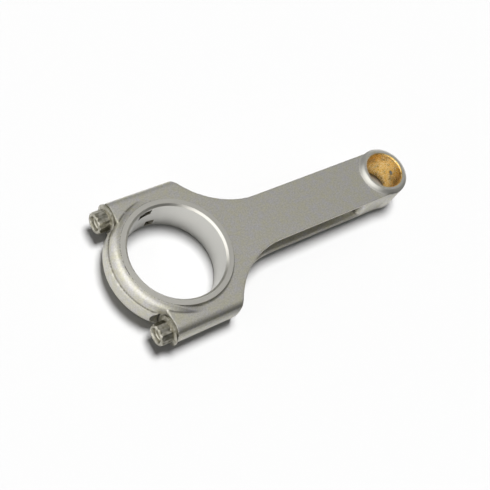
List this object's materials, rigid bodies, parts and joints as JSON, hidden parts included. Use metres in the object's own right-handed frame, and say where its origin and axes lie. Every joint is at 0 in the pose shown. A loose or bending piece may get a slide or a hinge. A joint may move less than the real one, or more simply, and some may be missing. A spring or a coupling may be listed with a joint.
{
  "type": "connecting rod",
  "caption": "Forged H-beam connecting rod: flat beam with side channels, split crank end with a ribbed cap held by flanged cap screws, and a bronze-bushed pin end.",
  "frame": {"origin": "middle of the rod's footprint as it lies on its side, on the surface it rests on", "axes": "+X runs from the crank end to the pin end, +Z along both bores and up, +Y across the beam; the crankpin axis is at X = -66.7875 mm and the wrist pin axis at X = +88.8125 mm, both at Y = 0, and the middle plane is at Z = 11.95 mm"},
  "size_m": [0.21, 0.0888, 0.0239],
  "materials": {
    "forged_steel": "shot-peened forging with machined faces",
    "bushing_bronze": "honed bronze",
    "screw_steel": "oiled alloy steel",
    "sleeve_steel": "ground steel"
  },
  "bodies": {
    "rod": {"rod_forging": "forged_steel", "pin_bushing": "bushing_bronze", "dowel_sleeve_left": "sleeve_steel", "dowel_sleeve_right": "sleeve_steel"},
    "cap": {"bearing_cap": "forged_steel"},
    "left_screw": {"cap_screw_left": "screw_steel"},
    "right_screw": {"cap_screw_right": "screw_steel"}
  },
  "joints": [
    {"name": "cap_lift", "type": "slide", "parent": "rod", "child": "cap", "axis": [-1, 0, 0], "range_m": [0, 0.035]},
    {"name": "screw_draw_left", "type": "slide", "parent": "cap", "child": "left_screw", "axis": [-1, 0, 0], "range_m": [0, 0.045]},
    {"name": "screw_draw_right", "type": "slide", "parent": "cap", "child": "right_screw", "axis": [-1, 0, 0], "range_m": [0, 0.045]}
  ]
}
